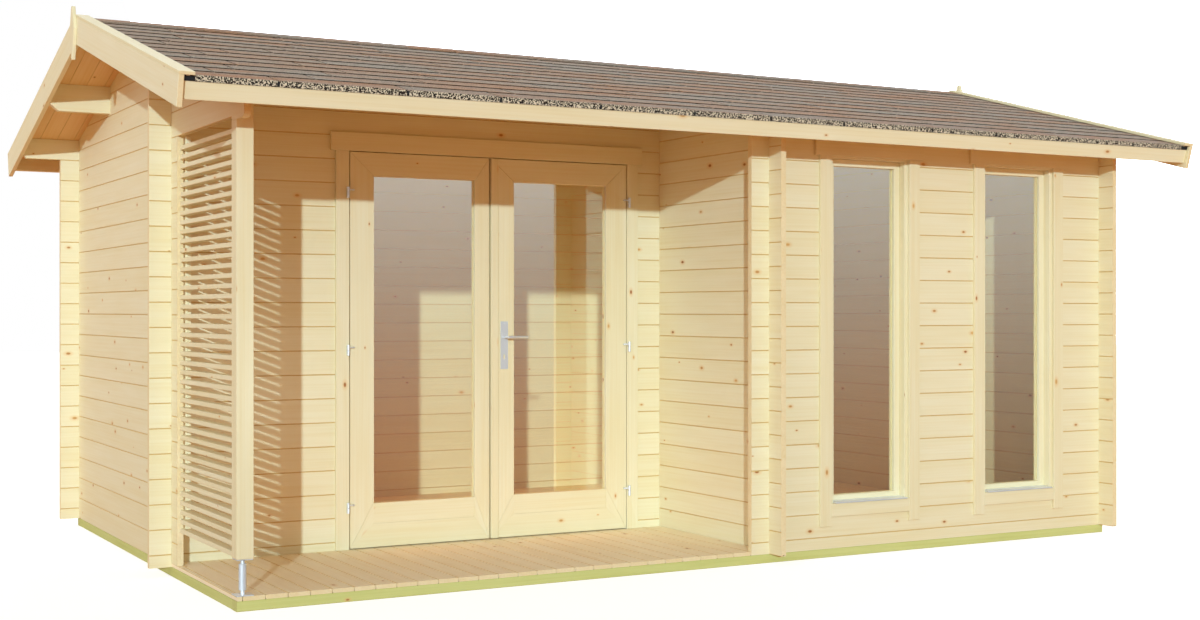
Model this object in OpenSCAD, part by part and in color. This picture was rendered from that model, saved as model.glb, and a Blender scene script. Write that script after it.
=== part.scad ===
// Log cabin with a recessed corner terrace, a double door, two tall windows and a low gable roof.
// X runs along the front, Y from the front to the rear, Z up from the ground.

/* [Cabin] */
// Terrace width, from the left wall's outer face to the terrace side wall
terrace_w = 2582; // [2200:1:3000]
// Width of the front room, from the terrace side wall to the right wall's outer face
room_w = 2204; // [1900:1:2600]
// Depth over the outer faces of the front and rear walls
cabin_d = 3010; // [2600:1:3600]
// Terrace depth, from the front wall's outer face to the door wall
terrace_d = 1000; // [800:1:1200]
// Height of the base beams
base_h = 42; // [38:1:70]
// Width of the base beams
base_w = 60; // [45:1:75]
// Thickness of the terrace deck and of the floor
deck_t = 18; // [16:1:28]

/* [Logs] */
// Thickness of a log
log_t = 28; // [26:1:34]
// Height of one course of logs
log_h = 114; // [110:1:120]
// Courses in the long walls above the half log
wall_rows = 18; // [16:1:20]
// Length of the log ends past a corner
log_end = 100; // [70:1:120]
// Chamfer along the edges of a log
log_chamfer = 2.5; // [1.5:0.5:4]
// Width of the tongue on top of a log
tongue_w = 10; // [8:0.5:12]
// Height of the tongue on top of a log
tongue_h = 8; // [5:0.5:10]
// Gap in the joints between logs
log_gap = 0.4; // [0.2:0.1:0.6]
// How far the nose of the beam over the terrace hangs down on the post
beam_nose = 14; // [8:1:24]
// Round of the lower front corner of the nose
beam_round = 24; // [10:1:60]
// Slanted cut under the ends of the eave logs
eave_cut = 19; // [10:1:30]

/* [Roof] */
// Pitch of the roof in degrees
roof_pitch = 15.2; // [13:0.1:18]
// How far the roof boards run out past the front and rear walls
eave_out = 311; // [250:1:400]
// How far the roof boards run past the side walls
verge_out = 298; // [240:1:340]
// Thickness of the roof boards
roof_board_t = 18; // [16:1:24]
// Exposed length of a course of shingles
course_l = 145; // [130:1:160]
// Thickness of the shingles at the lower edge of a course
shingle_butt = 6; // [5:0.5:8]
// Thickness of the shingles at the upper edge of a course
shingle_top = 3; // [2:0.5:4]
// Thickness of the shingles folded over the eaves
shingle_fold = 3; // [2:0.5:5]
// Width of the two flaps of the ridge cap
ridge_flap = 110; // [90:1:140]
// Thickness of the barge boards
barge_t = 22; // [18:1:28]
// Width of the barge boards
barge_w = 122; // [110:1:140]
// How far the barge boards run past the roof boards at the eaves
barge_past = 18; // [10:1:30]
// Thickness of the cover strips on the barge boards
cover_t = 14; // [10:1:18]
// Width of the cover strips
cover_w = 62; // [50:1:80]
// Width of the boards under the eaves
fascia_w = 70; // [60:1:90]
// Thickness of the boards under the eaves
fascia_t = 18; // [15:1:24]
// Width of a purlin
purlin_w = 45; // [40:1:60]
// Depth of a purlin
purlin_h = 133; // [120:1:160]
// Distance from the ridge to the side purlins
purlin_out = 738; // [650:1:800]
// Length of the slanted cut under the ends of a purlin
purlin_cut = 43; // [20:1:60]
// Height of the slanted cut under the ends of a purlin
purlin_cut_h = 34; // [20:1:60]
// Height of the finials on the gables
finial_h = 250; // [220:1:280]
// Height of a finial over the cover strips
finial_up = 35; // [20:1:50]
// Height of a finial's widest place over its lower end
finial_waist = 142; // [110:1:170]
// Width of a finial at its widest
finial_w = 94; // [80:1:120]
// Width of a finial at its ends
finial_tip_w = 20; // [12:1:40]
// Thickness of a finial
finial_t = 16; // [12:1:24]

/* [Terrace] */
// Side of the square corner post
post_w = 70; // [70:1:90]
// Height of the steel foot under the post
foot_h = 148; // [130:1:170]
// Side of the foot's plate under the post
foot_plate_w = 66; // [60:1:70]
// Side of the foot's plate on the deck
foot_base_w = 72; // [66:1:90]
// Thickness of the foot's plates
foot_plate_t = 4; // [3:0.5:6]
// Diameter of the foot's rod
foot_rod_d = 17; // [14:1:20]
// Diameter of the foot's adjusting sleeve
foot_sleeve_d = 33; // [28:1:40]
// Height of the foot's adjusting sleeve
foot_sleeve_h = 105; // [90:1:115]
// Slats in the louvre screen
slat_count = 43; // [40:1:45]
// Height of a slat
slat_h = 20; // [16:1:24]
// Depth of a slat
slat_w = 45; // [35:1:45]
// Width of the upright battens that hold the slats
batten_w = 22; // [18:1:30]

/* [Door] */
// Distance from the left wall's outer face to the clear doorway
door_x = 843; // [780:1:900]
// Distance from the clear doorway to the terrace side wall
door_side = 207; // [190:1:260]
// Thickness of the door frame
jamb_t = 30; // [26:1:36]
// Depth of the door frame
jamb_d = 56; // [52:1:70]
// Thickness of the head of the door frame
door_head_t = 38; // [30:1:45]
// Room left over the frames for the logs to settle
settle_gap = 35; // [25:1:40]
// Width of the stop that the leaves close against
stop_w = 15; // [10:1:20]
// Thickness of the door leaves
leaf_t = 40; // [36:1:44]
// How far the leaves stand in front of the wall
leaf_proud = 14; // [12:1:16]
// Running gap round the leaves
leaf_gap = 5; // [5:0.5:8]
// Gap between the two leaves
meet_gap = 9; // [8:0.5:12]
// Width of the strip over the meeting edges
meet_strip_w = 40; // [34:1:50]
// Thickness of the strip over the meeting edges
meet_strip_t = 8; // [6:1:12]
// Width of the outer stiles of the leaves
stile_w = 120; // [100:1:130]
// Distance from the middle of the doorway to the glass
meet_stile_w = 108; // [95:1:120]
// Height of the top and bottom rails of the leaves
rail_h = 112; // [95:1:125]
// Height of the board between the bottom rail and the glass
kick_h = 97; // [80:1:120]
// How far the board between the bottom rail and the glass lies behind the faces of the leaf
kick_in = 2; // [1:0.5:6]
// Thickness of the panes
glass_t = 4; // [3:0.5:6]
// How deep the panes sit in their grooves
glass_seat = 8; // [6:1:10]

/* [Trim] */
// Width of the side trims round the door and the windows
trim_w = 66; // [55:1:80]
// Thickness of the trims
trim_t = 16; // [12:1:18]
// Height of the boards over the door and the windows
trim_head_h = 88; // [80:1:100]
// How far the boards over the door and the windows run past the side trims
trim_head_past = 26; // [15:1:40]

/* [Hinges and handle] */
// Distance from a leaf's edge to the axis of its hinges
hinge_side = 14; // [12:1:15]
// Gap between the hinge barrels and the trim
hinge_clear = 2.2; // [1.4:0.2:5]
// Diameter of the hinge barrels
hinge_d = 15; // [13:0.5:15]
// Height of a hinge, both halves together
hinge_h = 52; // [46:1:60]
// Diameter of the hinge pins
hinge_pin_d = 6; // [5:0.5:8]
// Diameter of the studs that hold the hinges
hinge_stud_d = 8; // [6:0.5:9]
// Depth of the studs in the wood
hinge_stud_l = 18; // [12:1:22]
// Distance from a leaf's end to the middle of its nearest hinge
hinge_inset = 195; // [150:1:250]
// Distance from the middle of the doorway to the handle
handle_x = 53; // [46:1:55]
// Height of the lever over the bottom of the leaf
lever_z = 1002; // [900:1:1100]
// Length of the lever
lever_l = 110; // [95:1:130]
// Diameter of the lever's bar
lever_d = 15; // [12:1:18]
// How far the lever stands off the leaf
lever_out = 46; // [40:1:52]
// Diameter of the spindle
spindle_d = 10; // [8:0.5:11]
// Width of the handle plates
plate_w = 41; // [36:1:46]
// Height of the handle plates
plate_h = 239; // [200:1:260]
// Height of a handle plate under the lever
plate_below = 160; // [140:1:180]
// Thickness of the handle plates
plate_t = 3; // [2:0.5:4]
// Width of the keyhole in the handle plates
keyhole_w = 9; // [7:0.5:11]
// Height of the keyhole
keyhole_h = 24; // [18:1:30]
// Distance from the lever down to the middle of the keyhole
keyhole_below = 98; // [80:1:110]

/* [Windows] */
// Width of the front wall beside the terrace, up to the first window
left_pier_w = 340; // [300:1:380]
// Width of the front wall between the windows
middle_pier_w = 456; // [400:1:520]
// Width of the front wall beside the second window
right_pier_w = 352; // [300:1:400]
// Full courses under the windows
sill_rows = 1; // [1:1:3]
// Thickness of the window jambs
window_jamb_t = 40; // [34:1:46]
// How far the window frames run in past the sashes
window_back = 7; // [0:1:20]
// Thickness of the window sills
window_sill_t = 49; // [40:1:60]
// Thickness of the heads of the window frames
window_head_t = 57; // [45:1:60]
// Distance from the wall's face to the sash
sash_in = 38; // [25:1:40]
// Thickness of the sash
sash_t = 40; // [34:1:40]
// Width of the sash rails and stiles
sash_w = 34; // [28:1:45]
// Height of the board under a window
apron_h = 65; // [50:1:70]
// How far the side trims run down past the boards under the windows
trim_past = 46; // [30:1:60]
// How far the drip rail stands in front of the wall
drip_out = 26; // [22:1:34]
// Thickness of the drip rail
drip_t = 10; // [6:1:14]

/* [Hidden] */
$fn = 48;

// Seat between pieces that rest on each other, and the running clearances
seat = 0.3;
pin_play = 0.05;
stud_play = 0.3;
hinge_play = 1;
lift_gap = 6;
// Longest reach of a cutting block, and the overrun of a cut
reach = 20000;
over = 1;
// Lowest strip of log that is worth cutting under the roof
thin_strip = 20;
// Base beams between the front and the door wall, and between the door wall and the rear
front_bays = 3;
rear_bays = 5;

spruce = "#ecdcac";
treated = "#c8c36e";
steel = "#c9ccd0";
shingle_grey = "#6d625c";
pane = "#b9c6c9";

cabin_w = terrace_w + room_w;
// Heights; the doorway and the windows reach up to the eave log
deck_z = base_h + deck_t;
wall_top = base_h + log_h * (wall_rows + 0.5);
beam_z = base_h + log_h * (wall_rows - 1);
opening_z = wall_top - log_h;
opening_rows = wall_rows - 1;
// Roof: a point on the front slope lies u down the slope and v above the underside of the boards
rise = tan(roof_pitch);
ridge_z = wall_top + rise * (cabin_d / 2 - log_t) + seat;
slope_l = (cabin_d / 2 + eave_out) / cos(roof_pitch);
function roof_under(y) = ridge_z - rise * abs(y - cabin_d / 2);
function slope_point(u, v) = [
    cabin_d / 2 - u * cos(roof_pitch) - v * sin(roof_pitch),
    ridge_z - u * sin(roof_pitch) + v * cos(roof_pitch)
];
function ridge_point(v) = slope_point(-v * tan(roof_pitch) + seat, v);
shingle_v = roof_board_t + seat;
shingle_end = slope_l + seat + shingle_fold;
barge_top_v = shingle_v + shingle_butt;
barge_u = slope_l + barge_past;
cover_v = barge_top_v + seat;
barge_x = verge_out + barge_t;
finial_z = ridge_z + (cover_v + cover_t) / cos(roof_pitch) + finial_up - finial_h;
purlin_ys = [cabin_d / 2 - purlin_out, cabin_d / 2, cabin_d / 2 + purlin_out];

// Door, from the outside in
door_end = terrace_w - door_side;
door_mid = (door_x + door_end) / 2;
leaf_x0 = door_x + leaf_gap;
leaf_x1 = door_end - leaf_gap;
leaf_y = terrace_d - leaf_proud;
leaf_z0 = deck_z + lift_gap;
door_head_z = opening_z - settle_gap - door_head_t;
leaf_z1 = door_head_z - leaf_gap;
leaf_h = leaf_z1 - leaf_z0;
right_leaf_x = door_mid - meet_strip_w / 2;
left_leaf_end = right_leaf_x - meet_gap;
stop_y = leaf_y + leaf_t + leaf_gap;
glass_y = leaf_y + leaf_t / 2 - glass_t / 2;
hinge_out = trim_t + seat + hinge_clear + hinge_d / 2;
hinge_y = terrace_d - hinge_out;
hinge_zs = [leaf_z0 + hinge_inset, (leaf_z0 + leaf_z1) / 2, leaf_z1 - hinge_inset];
lever_x = door_mid + handle_x;
lever_h = leaf_z0 + lever_z;

// Windows
hole_w = (room_w - left_pier_w - middle_pier_w - right_pier_w) / 2;
window_w = hole_w - 2 * window_jamb_t - 2 * seat;
window_mids = [terrace_w + left_pier_w + hole_w / 2, cabin_w - right_pier_w - hole_w / 2];
window_d = sash_in + sash_t + window_back;
window_z = base_h + log_h * (sill_rows + 0.5);
window_head_z = opening_z - settle_gap - window_head_t;
window_low = window_z + window_sill_t;

// The part stands with the middle of its ground plan at the origin
module placed() {
    translate([-cabin_w / 2, -cabin_d / 2, 0]) children();
}

// A box given by its two corners
module block(low, high) {
    translate(low) cube(high - low);
}

// An outline in Y and Z, drawn out along X
module along_x(x0, x1) {
    translate([x0, 0, 0]) rotate([90, 0, 90]) linear_extrude(x1 - x0) children();
}

// An outline in X and Z, drawn out along Y
module along_y(y0, y1) {
    translate([0, y1, 0]) rotate([90, 0, 0]) linear_extrude(y1 - y0) children();
}

// The same piece on both slopes of the roof
module both_slopes() {
    children();
    translate([0, cabin_d, 0]) mirror([0, 1, 0]) children();
}

// The same piece at both gables
module both_gables() {
    children();
    translate([cabin_w, 0, 0]) mirror([1, 0, 0]) children();
}

// The room under the roof boards, which cuts the tops of the gables
module under_roof() {
    intersection() {
        children();
        along_x(-reach, reach) polygon([
            [cabin_d / 2, ridge_z - seat],
            [-reach, ridge_z - seat - rise * (cabin_d / 2 + reach)],
            [cabin_d + reach, ridge_z - seat - rise * (cabin_d / 2 + reach)]
        ]);
    }
}

// Log section: chamfered edges, a tongue on top and a groove below
function log_section() = let (
    low = log_gap / 2,
    top = log_h - log_gap / 2,
    tongue_y = (log_t - tongue_w) / 2,
    groove_y = tongue_y - log_gap
) [
    [log_chamfer, low], [groove_y, low], [groove_y, low + tongue_h],
    [log_t - groove_y, low + tongue_h], [log_t - groove_y, low], [log_t - log_chamfer, low],
    [log_t, low + log_chamfer], [log_t, top - log_chamfer], [log_t - log_chamfer, top],
    [log_t - tongue_y, top], [log_t - tongue_y, top + tongue_h],
    [tongue_y, top + tongue_h], [tongue_y, top], [log_chamfer, top],
    [0, top - log_chamfer], [0, low + log_chamfer]
];

// One log along X, half-lapped wherever a log of another wall crosses it from above or below
module log_piece(length, above, below) {
    lap = log_h / 4;
    difference() {
        along_x(0, length) polygon(log_section());
        for (x = below) {
            block([x - log_gap, -over, -over], [x + log_t + log_gap, log_t + over, lap + log_gap / 2]);
        }
        for (x = above) {
            block(
                [x - log_gap, -over, log_h - lap - log_gap / 2],
                [x + log_t + log_gap, log_t + over, log_h + tongue_h + over]
            );
        }
    }
}

// A log of a wall that runs along X; its first course is a half log
module x_log(x0, x1, y, row, crossings = []) {
    laps = [for (x = crossings) x - x0];
    translate([x0, y, base_h + log_h * (row - 0.5)]) log_piece(x1 - x0, laps, laps);
}

// A log of a wall that runs along Y; its first course is a full log
module y_log(x, y0, y1, row, above, below) {
    translate([x + log_t, y0, base_h + log_h * row]) rotate([0, 0, 90])
        log_piece(y1 - y0, [for (y = above) y - y0], [for (y = below) y - y0]);
}

// Courses of a wall along X, with the lower half of the first log sawn off
module x_courses(x0, x1, y, first, last, crossings = []) {
    for (row = [first : last]) {
        difference() {
            x_log(x0, x1, y, row, crossings);
            if (row == 0) block([-reach, -reach, -reach], [reach, reach, base_h + seat]);
        }
    }
}

// Courses of a wall along Y
module y_courses(x, y0, y1, first, last, crossings = []) {
    for (row = [first : last]) y_log(x, y0, y1, row, crossings, crossings);
}

// The last course that still fits under a height
function last_row(z_top, z_first) = ceil((z_top - z_first - thin_strip) / log_h) - 1;

// Passages for the purlins through the gables
module purlin_passages() {
    for (y = purlin_ys) {
        block(
            [-reach, y - purlin_w / 2 - seat, roof_under(y) - purlin_h - seat],
            [reach, y + purlin_w / 2 + seat, ridge_z + over]
        );
    }
}

// Room for the deck and the floor under the log ends that stand on them
module deck_room() {
    block([-over, 0, 0], [terrace_w, terrace_d, deck_z + seat]);
}
module floor_room() {
    block([log_t, terrace_d + log_t, 0], [cabin_w - log_t, cabin_d - log_t, deck_z + seat]);
    block([terrace_w + log_t, log_t, 0], [cabin_w - log_t, cabin_d - log_t, deck_z + seat]);
}

module base_beams() {
    front_ys = [for (i = [1 : front_bays - 1]) i * terrace_d / front_bays - base_w / 2];
    rear_gap = (cabin_d - terrace_d) / rear_bays;
    rear_ys = [for (i = [0 : rear_bays - 1]) terrace_d + (log_t - base_w) / 2 + i * rear_gap];
    placed() color(treated) {
        for (y = [0, cabin_d - base_w]) block([0, y, 0], [cabin_w, y + base_w, base_h]);
        for (x = [0, cabin_w - base_w]) {
            block([x, base_w + seat, 0], [x + base_w, cabin_d - base_w - seat, base_h]);
        }
        for (y = concat(front_ys, rear_ys)) {
            block([base_w + seat, y, 0], [cabin_w - base_w - seat, y + base_w, base_h]);
        }
    }
}

module terrace_deck() {
    placed() color(spruce) difference() {
        block([0, 0, base_h + seat], [terrace_w - seat, terrace_d - seat, deck_z]);
        block(
            [terrace_w - log_end - seat, -over, 0],
            [terrace_w + over, log_t + seat, deck_z + over]
        );
    }
}

module room_floor() {
    x0 = terrace_w + log_t + seat;
    x1 = cabin_w - log_t - seat;
    y0 = terrace_d + jamb_d + seat;
    placed() color(spruce) {
        block([log_t + seat, y0, base_h + seat], [x1, cabin_d - log_t - seat, deck_z]);
        block([x0, window_d + seat, base_h + seat], [x1, y0 - seat, deck_z]);
    }
}

module rear_wall() {
    corners = [0, cabin_w - log_t];
    y = cabin_d - log_t;
    placed() color(spruce) {
        x_courses(-log_end, cabin_w + log_end, y, 0, wall_rows - 1, corners);
        under_roof() eave_log(y, corners);
    }
}

// The top log of a long wall runs out to the barge boards under the eave
module eave_log(y, crossings) {
    x0 = seat - verge_out;
    x1 = cabin_w - x0;
    z = opening_z;
    intersection() {
        x_log(x0, x1, y, wall_rows, crossings);
        along_y(y - over, y + log_t + over) polygon([
            [x0 + eave_cut, z], [x1 - eave_cut, z], [x1, z + eave_cut],
            [x1, ridge_z], [x0, ridge_z], [x0, z + eave_cut]
        ]);
    }
}

module left_wall() {
    placed() color(spruce) difference() {
        y_courses(
            0, terrace_d - log_end, cabin_d + log_end, 0, wall_rows - 2,
            [terrace_d, cabin_d - log_t]
        );
        deck_room();
        block([-over, -reach, -reach], [log_t + over, reach, base_h + seat]);
    }
}

// Gable courses, which run from eave to eave under the roof
module gable_courses(x, first, crossings) {
    last = last_row(ridge_z, base_h);
    difference() {
        under_roof() y_courses(x, -log_end, cabin_d + log_end, first, last, crossings);
        purlin_passages();
    }
}

// The lowest gable log is the beam over the terrace; its nose rests on the post
module terrace_beam(walls) {
    nose_z = beam_z - beam_nose;
    difference() {
        union() {
            y_log(0, -log_end, cabin_d + log_end, wall_rows - 1, concat([0], walls), walls);
            along_x(0, log_t) {
                translate([-log_end, nose_z])
                    square([log_end + post_w - beam_nose, beam_nose + log_chamfer + tongue_h]);
                translate([post_w - beam_nose, beam_z]) circle(beam_nose);
            }
        }
        along_x(-over, log_t + over) difference() {
            translate([-log_end - over, nose_z - over]) square([beam_round + over, beam_round + over]);
            translate([beam_round - log_end, nose_z + beam_round]) circle(beam_round);
        }
    }
}

module left_gable() {
    walls = [terrace_d, cabin_d - log_t];
    placed() color(spruce) {
        under_roof() terrace_beam(walls);
        gable_courses(0, wall_rows, concat([0], walls));
    }
}

module right_wall() {
    x = cabin_w - log_t;
    placed() color(spruce) difference() {
        y_courses(x, -log_end, cabin_d + log_end, 0, wall_rows - 2, [0, cabin_d - log_t]);
        block([x - over, -reach, -reach], [cabin_w + over, reach, base_h + seat]);
    }
}

module right_gable() {
    placed() color(spruce) gable_courses(cabin_w - log_t, wall_rows - 1, [0, cabin_d - log_t]);
}

module terrace_side_wall() {
    y1 = terrace_d + log_t + log_end;
    last = last_row(roof_under(y1), base_h);
    placed() color(spruce) difference() {
        under_roof() y_courses(terrace_w, -log_end, y1, 0, last, [0, terrace_d]);
        purlin_passages();
        floor_room();
        block([0, -reach, -reach], [cabin_w, reach, base_h + seat]);
    }
}

// The courses under the windows, with their tongue cut away where the window sills lie
module front_wall_sill() {
    placed() color(spruce) difference() {
        x_courses(terrace_w - log_end, cabin_w + log_end, 0, 0, sill_rows, [terrace_w, cabin_w - log_t]);
        at_windows() block([-hole_w / 2, -over, window_z], [hole_w / 2, log_t + over, window_head_z]);
    }
}

// Courses of the front wall beside the windows
module front_pier(x0, x1, crossings) {
    x_courses(x0, x1, 0, sill_rows + 1, opening_rows, crossings);
}

module front_wall_left_pier() {
    placed() color(spruce) front_pier(terrace_w - log_end, window_mids[0] - hole_w / 2, [terrace_w]);
}

module front_wall_middle_pier() {
    placed() color(spruce) front_pier(window_mids[0] + hole_w / 2, window_mids[1] - hole_w / 2, []);
}

module front_wall_right_pier() {
    placed() color(spruce)
        front_pier(window_mids[1] + hole_w / 2, cabin_w + log_end, [cabin_w - log_t]);
}

module front_wall_head() {
    placed() color(spruce) under_roof() eave_log(0, [0, terrace_w, cabin_w - log_t]);
}

module door_wall_left_pier() {
    placed() color(spruce)
        x_courses(-log_end, door_x - jamb_t - seat, terrace_d, 0, opening_rows, [0]);
}

module door_wall_right_pier() {
    placed() color(spruce) difference() {
        x_courses(
            door_end + jamb_t + seat, terrace_w + log_t + log_end, terrace_d, 0, opening_rows,
            [terrace_w]
        );
        floor_room();
    }
}

module door_wall_head() {
    last = last_row(roof_under(terrace_d), base_h - log_h / 2);
    placed() color(spruce) under_roof()
        x_courses(
            -log_end, terrace_w + log_t + log_end, terrace_d, opening_rows + 1, last,
            [0, terrace_w]
        );
}

module purlins() {
    x0 = seat - verge_out;
    x1 = cabin_w - x0;
    placed() color(spruce) under_roof() for (y = purlin_ys) {
        z = roof_under(y) - purlin_h;
        along_y(y - purlin_w / 2, y + purlin_w / 2) polygon([
            [x0 + purlin_cut, z], [x1 - purlin_cut, z], [x1, z + purlin_cut_h],
            [x1, ridge_z], [x0, ridge_z], [x0, z + purlin_cut_h]
        ]);
    }
}

// Roof boards of the front slope
module slope_boards() {
    along_x(seat - verge_out, cabin_w + verge_out - seat) polygon([
        ridge_point(0), ridge_point(roof_board_t), slope_point(slope_l, roof_board_t), slope_point(slope_l, 0)
    ]);
}

module front_roof_boards() {
    placed() color(spruce) slope_boards();
}

module rear_roof_boards() {
    placed() color(spruce) translate([0, cabin_d, 0]) mirror([0, 1, 0]) slope_boards();
}

// Shingles of the front slope: lapped courses, folded down over the ends of the boards
module slope_shingles() {
    courses = ceil(shingle_end / course_l);
    steps = [
        for (i = [courses - 1 : -1 : 1]) let (u = shingle_end - i * course_l)
            each [slope_point(u, shingle_v + shingle_butt), slope_point(u, shingle_v + shingle_top)]
    ];
    along_x(seat - verge_out, cabin_w + verge_out - seat) polygon(concat(
        [ridge_point(shingle_v), ridge_point(shingle_v + shingle_top)],
        steps,
        [
            slope_point(shingle_end, shingle_v + shingle_butt), slope_point(shingle_end, 0),
            slope_point(slope_l + seat, 0), slope_point(slope_l + seat, shingle_v)
        ]
    ));
}

module front_shingles() {
    placed() color(shingle_grey) slope_shingles();
}

module rear_shingles() {
    placed() color(shingle_grey) translate([0, cabin_d, 0]) mirror([0, 1, 0]) slope_shingles();
}

module ridge_cap() {
    low = barge_top_v + seat;
    top = low + shingle_top;
    side = [slope_point(ridge_flap, top), slope_point(ridge_flap, low)];
    function across(p) = [cabin_d - p[0], p[1]];
    apex = [for (v = [low, top]) [cabin_d / 2, ridge_z + v / cos(roof_pitch)]];
    x0 = cover_w - barge_x + seat;
    placed() color(shingle_grey) along_x(x0, cabin_w - x0)
        polygon([side[0], apex[1], across(side[0]), across(side[1]), apex[0], side[1]]);
}

module barge_boards() {
    placed() color(spruce) both_gables() both_slopes() along_x(-barge_x, -verge_out) polygon([
        ridge_point(barge_top_v - barge_w), ridge_point(barge_top_v),
        slope_point(barge_u, barge_top_v), slope_point(barge_u, barge_top_v - barge_w)
    ]);
}

module verge_covers() {
    placed() color(spruce) both_gables() both_slopes() along_x(-barge_x, cover_w - barge_x) polygon([
        ridge_point(cover_v), ridge_point(cover_v + cover_t),
        slope_point(barge_u, cover_v + cover_t), slope_point(barge_u, cover_v)
    ]);
}

module gable_finials() {
    waist_z = finial_z + finial_waist;
    mid = cabin_d / 2;
    placed() color(spruce) both_gables() along_x(-barge_x - seat - finial_t, -barge_x - seat) polygon([
        [mid - finial_tip_w / 2, finial_z], [mid + finial_tip_w / 2, finial_z],
        [mid + finial_w / 2, waist_z], [mid + finial_tip_w / 2, finial_z + finial_h],
        [mid - finial_tip_w / 2, finial_z + finial_h], [mid - finial_w / 2, waist_z]
    ]);
}

module eave_fascias() {
    placed() color(spruce) both_slopes() along_x(seat - verge_out, cabin_w + verge_out - seat) polygon([
        slope_point(slope_l - fascia_t, -seat), slope_point(slope_l, -seat),
        slope_point(slope_l, -seat - fascia_w), slope_point(slope_l - fascia_t, -seat - fascia_w)
    ]);
}

// The post carries the nose of the beam; the rest of its top runs up to the eave log
module corner_post() {
    low = deck_z + foot_h + seat;
    placed() color(spruce) {
        block([0, 0, low], [post_w, post_w, beam_z - beam_nose - seat]);
        block([log_t + seat, 0, low], [post_w, post_w, opening_z - seat]);
    }
}

module post_foot() {
    z0 = deck_z + seat;
    top = deck_z + foot_h;
    plate = foot_plate_w / 2;
    corner = -post_w / 2;
    placed() translate([post_w / 2, post_w / 2, 0]) color(steel) {
        block([corner, corner, z0], [corner + foot_base_w, corner + foot_base_w, z0 + foot_plate_t]);
        block([-plate, -plate, top - foot_plate_t], [plate, plate, top]);
        translate([0, 0, z0]) cylinder(h = top - z0, d = foot_rod_d);
        translate([0, 0, (z0 + top - foot_sleeve_h) / 2])
            cylinder(h = foot_sleeve_h, d = foot_sleeve_d, $fn = 6);
    }
}

// Slats between the post and the left wall's log ends, held by a batten at either end
module louvre_screen() {
    y0 = post_w + seat;
    y1 = terrace_d - log_end - seat;
    z0 = deck_z + foot_h;
    z1 = beam_z - 2 * seat;
    x0 = (post_w - slat_w) / 2;
    pitch = (z1 - z0 - slat_h) / (slat_count - 1);
    placed() color(spruce) {
        for (i = [0 : slat_count - 1]) {
            translate([x0, y0, z0 + i * pitch]) cube([slat_w, y1 - y0, slat_h]);
        }
        block([x0, y0, z0], [x0 + slat_w, y0 + batten_w, z1]);
        block([log_t + seat, y1 - batten_w, z0], [x0 + slat_w, y1, z1]);
    }
}

// Jambs with the stops that the leaves close against, bored for the hinge studs
module door_frame() {
    y1 = terrace_d + jamb_d;
    placed() color(spruce) difference() {
        union() {
            block([door_x - jamb_t, terrace_d, base_h + seat], [door_x, y1, door_head_z - seat]);
            block([door_x - over, stop_y, deck_z + seat], [door_x + stop_w, y1, door_head_z - seat]);
            block([door_end, terrace_d, base_h + seat], [door_end + jamb_t, y1, door_head_z - seat]);
            block([door_end - stop_w, stop_y, deck_z + seat], [door_end + over, y1, door_head_z - seat]);
            block([door_x - jamb_t, terrace_d, door_head_z], [door_end + jamb_t, y1, opening_z - settle_gap]);
        }
        frame_hinge_studs(stud_play);
    }
}

module door_sill() {
    placed() color(spruce) block(
        [door_x + seat, terrace_d + seat, base_h + seat],
        [door_end - seat, terrace_d + jamb_d, deck_z]
    );
}

// Side trims and a head board on a wall whose face is at y
module trims(x0, x1, y, low, top) {
    block([x0 - trim_w, y - trim_t - seat, low], [x0, y - seat, top - seat]);
    block([x1, y - trim_t - seat, low], [x1 + trim_w, y - seat, top - seat]);
    block(
        [x0 - trim_w - trim_head_past, y - trim_t - seat, top],
        [x1 + trim_w + trim_head_past, y - seat, top + trim_head_h]
    );
}

module door_trim() {
    placed() color(spruce) difference() {
        trims(door_x, door_end, terrace_d, deck_z + seat, door_head_z);
        frame_hinge_studs(stud_play);
    }
}

// Four mitred members and a kick board, grooved for the pane
module leaf_frame(x0, x1, left_w, right_w) {
    low = leaf_z0;
    top = leaf_z1;
    in0 = x0 + left_w;
    in1 = x1 - right_w;
    difference() {
        union() {
            along_y(leaf_y, leaf_y + leaf_t) {
                polygon([[x0, low], [in0, low + rail_h], [in0, top - rail_h], [x0, top]]);
                polygon([[x1, low], [in1, low + rail_h], [in1, top - rail_h], [x1, top]]);
                polygon([
                    [x0 + log_gap, low], [x1 - log_gap, low],
                    [in1 - log_gap, low + rail_h], [in0 + log_gap, low + rail_h]
                ]);
                polygon([
                    [x0 + log_gap, top], [x1 - log_gap, top],
                    [in1 - log_gap, top - rail_h], [in0 + log_gap, top - rail_h]
                ]);
            }
            block(
                [in0 + seat, leaf_y + kick_in, low + rail_h + seat],
                [in1 - seat, leaf_y + leaf_t - kick_in, low + rail_h + kick_h]
            );
        }
        leaf_pane(in0, in1, seat);
    }
}

// The pane of a leaf, or its groove when it is grown by a clearance
module leaf_pane(in0, in1, play) {
    block(
        [in0 - glass_seat - play, glass_y - play, leaf_z0 + rail_h + kick_h - glass_seat - play],
        [in1 + glass_seat + play, glass_y + glass_t + play, leaf_z1 - rail_h + glass_seat + play]
    );
}

module left_leaf_frame() {
    placed() color(spruce) difference() {
        leaf_frame(leaf_x0, left_leaf_end, stile_w, meet_stile_w - meet_strip_w / 2 - meet_gap);
        leaf_hinge_studs(stud_play);
    }
}

module left_leaf_glass() {
    placed() color(pane) leaf_pane(leaf_x0 + stile_w, door_mid - meet_stile_w, 0);
}

module right_leaf_frame() {
    placed() color(spruce) difference() {
        leaf_frame(right_leaf_x, leaf_x1, meet_stile_w + meet_strip_w / 2, stile_w);
        across_door() leaf_hinge_studs(stud_play);
        spindle(spindle_d + 2 * stud_play);
    }
}

module right_leaf_glass() {
    placed() color(pane) leaf_pane(door_mid + meet_stile_w, leaf_x1 - stile_w, 0);
}

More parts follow.
